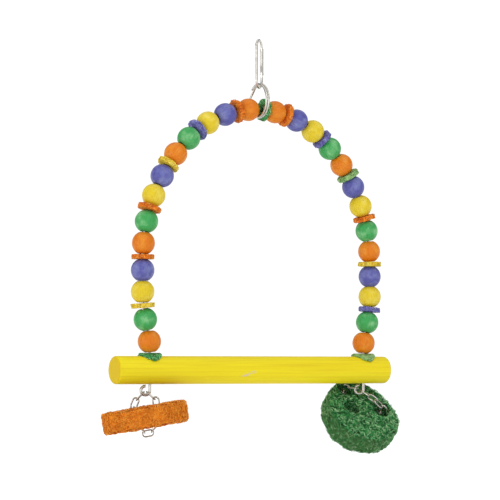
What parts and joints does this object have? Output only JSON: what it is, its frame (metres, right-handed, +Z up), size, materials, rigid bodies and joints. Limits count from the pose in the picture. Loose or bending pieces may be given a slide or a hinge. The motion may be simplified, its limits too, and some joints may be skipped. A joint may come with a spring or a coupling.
{
  "type": "bird swing",
  "caption": "Hanging bird swing: dyed dowel perch on a wire arch strung with wooden beads and loofah discs, a loofah slice chained under each end, snap clip on a split ring.",
  "frame": {"origin": "the hang point, at the inside top of the snap clip's hook", "axes": "+Z up; X along the perch and in the arch's plane, +X to the picture's right end; +Y away from the viewer"},
  "size_m": [0.229, 0.0592, 0.2894],
  "materials": {
    "yellow_dowel": "dyed, sanded dowel",
    "orange_bead": "dyed turned wood, satin",
    "green_bead": "dyed turned wood, satin",
    "yellow_bead": "dyed turned wood, satin",
    "blue_bead": "dyed turned wood, satin",
    "orange_loofah": "dyed dry loofah fibre",
    "yellow_loofah": "dyed dry loofah fibre",
    "green_loofah": "dyed dry loofah fibre",
    "light_green_loofah": "dyed dry loofah fibre",
    "blue_loofah": "dyed dry loofah fibre",
    "arch_wire": "nickel-plated drawn wire",
    "clip_metal": "nickel-plated, polished",
    "chain_metal": "nickel-plated twisted-link wire",
    "spring_steel": "spring steel leaf"
  },
  "bodies": {
    "clip": {"clip_body": "clip_metal", "clip_pin": "clip_metal"},
    "gate": {"clip_gate": "clip_metal", "gate_spring": "spring_steel"},
    "ring": {"split_ring": "clip_metal"},
    "swing_frame": {"arch_wire": "arch_wire", "perch": "yellow_dowel"},
    "left_eye_links": {"left_eye_link_a": "chain_metal", "left_eye_link_b": "chain_metal"},
    "left_slice": {"left_loofah_slice": "orange_loofah", "left_chain_loop": "chain_metal"},
    "right_eye_links": {"right_eye_link_a": "chain_metal", "right_eye_link_b": "chain_metal"},
    "right_slice": {"right_loofah_slice": "green_loofah", "right_chain_loop": "chain_metal"},
    "disc_01": {"disc_01": "green_loofah"},
    "bead_01": {"bead_01": "orange_bead"},
    "bead_02": {"bead_02": "green_bead"},
    "disc_02": {"disc_02": "yellow_loofah"},
    "bead_03": {"bead_03": "yellow_bead"},
    "bead_04": {"bead_04": "blue_bead"},
    "disc_03": {"disc_03": "orange_loofah"},
    "bead_05": {"bead_05": "orange_bead"},
    "bead_06": {"bead_06": "green_bead"},
    "disc_04": {"disc_04": "orange_loofah"},
    "bead_07": {"bead_07": "yellow_bead"},
    "bead_08": {"bead_08": "blue_bead"},
    "disc_05": {"disc_05": "yellow_loofah"},
    "bead_09": {"bead_09": "orange_bead"},
    "bead_10": {"bead_10": "green_bead"},
    "disc_06": {"disc_06": "blue_loofah"},
    "bead_11": {"bead_11": "yellow_bead"},
    "bead_12": {"bead_12": "blue_bead"},
    "disc_07": {"disc_07": "orange_loofah"},
    "bead_13": {"bead_13": "orange_bead"},
    "disc_08": {"disc_08": "green_loofah"},
    "bead_14": {"bead_14": "orange_bead"},
    "disc_09": {"disc_09": "orange_loofah"},
    "bead_15": {"bead_15": "blue_bead"},
    "bead_16": {"bead_16": "yellow_bead"},
    "disc_10": {"disc_10": "blue_loofah"},
    "bead_17": {"bead_17": "green_bead"},
    "bead_18": {"bead_18": "orange_bead"},
    "disc_11": {"disc_11": "light_green_loofah"},
    "bead_19": {"bead_19": "blue_bead"},
    "bead_20": {"bead_20": "yellow_bead"},
    "disc_12": {"disc_12": "orange_loofah"},
    "bead_21": {"bead_21": "green_bead"},
    "bead_22": {"bead_22": "orange_bead"},
    "disc_13": {"disc_13": "yellow_loofah"},
    "bead_23": {"bead_23": "blue_bead"},
    "bead_24": {"bead_24": "yellow_bead"},
    "disc_14": {"disc_14": "blue_loofah"},
    "bead_25": {"bead_25": "green_bead"},
    "bead_26": {"bead_26": "orange_bead"},
    "disc_15": {"disc_15": "light_green_loofah"}
  },
  "joints": [
    {"name": "swing", "type": "hinge", "parent": "ring", "child": "swing_frame", "pos_m": [0, 0, -0.04748], "axis": [1, 0, 0], "range_deg": [-35, 35]},
    {"name": "ring_sway", "type": "hinge", "parent": "clip", "child": "ring", "pos_m": [0, 0, -0.02978], "axis": [0, 1, 0], "range_deg": [-20, 20]},
    {"name": "gate_open", "type": "hinge", "parent": "clip", "child": "gate", "pos_m": [0.00396, 0.00321, -0.0223], "axis": [0.6293, -0.7771, 0], "range_deg": [0, 24], "stiffness_Nm_per_rad": 0.004, "springref_deg": -11.46},
    {"name": "left_slice_sway", "type": "hinge", "parent": "swing_frame", "child": "left_eye_links", "pos_m": [-0.088, 0.0015, -0.24228], "axis": [0.5, 0.866, 0], "range_deg": [-13, 18]},
    {"name": "left_slice_tip", "type": "hinge", "parent": "left_eye_links", "child": "left_slice", "pos_m": [-0.09291, 0.00434, -0.24735], "axis": [0.8647, -0.4992, 0.0559], "range_deg": [-28, 24]},
    {"name": "right_slice_sway", "type": "hinge", "parent": "swing_frame", "child": "right_eye_links", "pos_m": [0.08304, 0.00185, -0.24228], "axis": [0.6157, 0.788, 0], "range_deg": [-16, 16]},
    {"name": "right_slice_tip", "type": "hinge", "parent": "right_eye_links", "child": "right_slice", "pos_m": [0.07655, 0.00698, -0.23926], "axis": [0.7469, -0.4989, -0.4396], "range_deg": [-14, 2]},
    {"name": "disc_01_spin", "type": "hinge", "parent": "swing_frame", "child": "disc_01", "pos_m": [-0.0854, 0, -0.21788], "axis": [0, 0, 1], "continuous": true},
    {"name": "bead_01_spin", "type": "hinge", "parent": "swing_frame", "child": "bead_01", "pos_m": [-0.0858, 0, -0.20914], "axis": [-0.0897, 0, 0.996], "continuous": true},
    {"name": "bead_02_spin", "type": "hinge", "parent": "swing_frame", "child": "bead_02", "pos_m": [-0.08889, 0, -0.19434], "axis": [-0.2571, 0, 0.9664], "continuous": true},
    {"name": "disc_02_spin", "type": "hinge", "parent": "swing_frame", "child": "disc_02", "pos_m": [-0.09082, 0, -0.18495], "axis": [-0.0844, 0, 0.9964], "continuous": true},
    {"name": "bead_03_spin", "type": "hinge", "parent": "swing_frame", "child": "bead_03", "pos_m": [-0.09099, 0, -0.17567], "axis": [-0.0024, 0, 1], "continuous": true},
    {"name": "bead_04_spin", "type": "hinge", "parent": "swing_frame", "child": "bead_04", "pos_m": [-0.091, 0, -0.16106], "axis": [0, 0, 1], "continuous": true},
    {"name": "disc_03_spin", "type": "hinge", "parent": "swing_frame", "child": "disc_03", "pos_m": [-0.09099, 0, -0.15204], "axis": [0.0073, 0, 1], "continuous": true},
    {"name": "bead_05_spin", "type": "hinge", "parent": "swing_frame", "child": "bead_05", "pos_m": [-0.09045, 0, -0.14278], "axis": [0.0873, 0, 0.9962], "continuous": true},
    {"name": "bead_06_spin", "type": "hinge", "parent": "swing_frame", "child": "bead_06", "pos_m": [-0.08816, 0, -0.12792], "axis": [0.217, 0, 0.9762], "continuous": true},
    {"name": "disc_04_spin", "type": "hinge", "parent": "swing_frame", "child": "disc_04", "pos_m": [-0.08588, 0, -0.11893], "axis": [0.2953, 0, 0.9554], "continuous": true},
    {"name": "bead_07_spin", "type": "hinge", "parent": "swing_frame", "child": "bead_07", "pos_m": [-0.08269, 0, -0.11022], "axis": [0.3716, 0, 0.9284], "continuous": true},
    {"name": "bead_08_spin", "type": "hinge", "parent": "swing_frame", "child": "bead_08", "pos_m": [-0.0762, 0, -0.09666], "axis": [0.49, 0, 0.8717], "continuous": true},
    {"name": "disc_05_spin", "type": "hinge", "parent": "swing_frame", "child": "disc_05", "pos_m": [-0.07142, 0, -0.08871], "axis": [0.5589, 0, 0.8293], "continuous": true},
    {"name": "bead_09_spin", "type": "hinge", "parent": "swing_frame", "child": "bead_09", "pos_m": [-0.06584, 0, -0.08129], "axis": [0.6241, 0, 0.7813], "continuous": true},
    {"name": "bead_10_spin", "type": "hinge", "parent": "swing_frame", "child": "bead_10", "pos_m": [-0.05569, 0, -0.07019], "axis": [0.7242, 0, 0.6896], "continuous": true},
    {"name": "disc_06_spin", "type": "hinge", "parent": "swing_frame", "child": "disc_06", "pos_m": [-0.04867, 0, -0.06398], "axis": [0.794, 0, 0.6079], "continuous": true},
    {"name": "bead_11_spin", "type": "hinge", "parent": "swing_frame", "child": "bead_11", "pos_m": [-0.04081, 0, -0.05884], "axis": [0.8598, 0, 0.5106], "continuous": true},
    {"name": "bead_12_spin", "type": "hinge", "parent": "swing_frame", "child": "bead_12", "pos_m": [-0.02705, 0, -0.05236], "axis": [0.941, 0, 0.3384], "continuous": true},
    {"name": "disc_07_spin", "type": "hinge", "parent": "swing_frame", "child": "disc_07", "pos_m": [-0.01808, 0, -0.04956], "axis": [0.9742, 0, 0.2258], "continuous": true},
    {"name": "bead_13_spin", "type": "hinge", "parent": "swing_frame", "child": "bead_13", "pos_m": [-0.00879, 0, -0.04813], "axis": [0.9939, 0, 0.11], "continuous": true},
    {"name": "disc_08_spin", "type": "hinge", "parent": "swing_frame", "child": "disc_08", "pos_m": [0.00367, 0, -0.04757], "axis": [0.9989, 0, -0.0459], "continuous": true},
    {"name": "bead_14_spin", "type": "hinge", "parent": "swing_frame", "child": "bead_14", "pos_m": [0.01279, 0, -0.04867], "axis": [0.9871, 0, -0.16], "continuous": true},
    {"name": "disc_09_spin", "type": "hinge", "parent": "swing_frame", "child": "disc_09", "pos_m": [0.02179, 0, -0.05051], "axis": [0.9623, 0, -0.2721], "continuous": true},
    {"name": "bead_15_spin", "type": "hinge", "parent": "swing_frame", "child": "bead_15", "pos_m": [0.03042, 0, -0.05366], "axis": [0.9247, 0, -0.3806], "continuous": true},
    {"name": "bead_16_spin", "type": "hinge", "parent": "swing_frame", "child": "bead_16", "pos_m": [0.04369, 0, -0.06064], "axis": [0.8374, 0, -0.5467], "continuous": true},
    {"name": "disc_10_spin", "type": "hinge", "parent": "swing_frame", "child": "disc_10", "pos_m": [0.05117, 0, -0.06597], "axis": [0.7692, 0, -0.639], "continuous": true},
    {"name": "bead_17_spin", "type": "hinge", "parent": "swing_frame", "child": "bead_17", "pos_m": [0.05779, 0, -0.07225], "axis": [0.7038, 0, -0.7104], "continuous": true},
    {"name": "bead_18_spin", "type": "hinge", "parent": "swing_frame", "child": "bead_18", "pos_m": [0.06752, 0, -0.08344], "axis": [0.6054, 0, -0.796], "continuous": true},
    {"name": "disc_11_spin", "type": "hinge", "parent": "swing_frame", "child": "disc_11", "pos_m": [0.0728, 0, -0.09081], "axis": [0.5405, 0, -0.8413], "continuous": true},
    {"name": "bead_19_spin", "type": "hinge", "parent": "swing_frame", "child": "bead_19", "pos_m": [0.07731, 0, -0.09867], "axis": [0.4724, 0, -0.8814], "continuous": true},
    {"name": "bead_20_spin", "type": "hinge", "parent": "swing_frame", "child": "bead_20", "pos_m": [0.08345, 0, -0.11216], "axis": [0.3546, 0, -0.935], "continuous": true},
    {"name": "disc_12_spin", "type": "hinge", "parent": "swing_frame", "child": "disc_12", "pos_m": [0.08642, 0, -0.12073], "axis": [0.2796, 0, -0.9601], "continuous": true},
    {"name": "bead_21_spin", "type": "hinge", "parent": "swing_frame", "child": "bead_21", "pos_m": [0.08851, 0, -0.12955], "axis": [0.2028, 0, -0.9792], "continuous": true},
    {"name": "bead_22_spin", "type": "hinge", "parent": "swing_frame", "child": "bead_22", "pos_m": [0.09057, 0, -0.14423], "axis": [0.0747, 0, -0.9972], "continuous": true},
    {"name": "disc_13_spin", "type": "hinge", "parent": "swing_frame", "child": "disc_13", "pos_m": [0.091, 0, -0.15327], "axis": [0.0015, 0, -1], "continuous": true},
    {"name": "bead_23_spin", "type": "hinge", "parent": "swing_frame", "child": "bead_23", "pos_m": [0.091, 0, -0.16207], "axis": [0, 0, -1], "continuous": true},
    {"name": "bead_24_spin", "type": "hinge", "parent": "swing_frame", "child": "bead_24", "pos_m": [0.09098, 0, -0.17648], "axis": [-0.0051, 0, -1], "continuous": true},
    {"name": "disc_14_spin", "type": "hinge", "parent": "swing_frame", "child": "disc_14", "pos_m": [0.09076, 0, -0.18559], "axis": [-0.0979, 0, -0.9952], "continuous": true},
    {"name": "bead_25_spin", "type": "hinge", "parent": "swing_frame", "child": "bead_25", "pos_m": [0.0888, 0, -0.19473], "axis": [-0.26, 0, -0.9656], "continuous": true},
    {"name": "bead_26_spin", "type": "hinge", "parent": "swing_frame", "child": "bead_26", "pos_m": [0.08578, 0, -0.20936], "axis": [-0.0862, 0, -0.9963], "continuous": true},
    {"name": "disc_15_spin", "type": "hinge", "parent": "swing_frame", "child": "disc_15", "pos_m": [0.0854, 0, -0.21788], "axis": [0, 0, -1], "continuous": true}
  ]
}
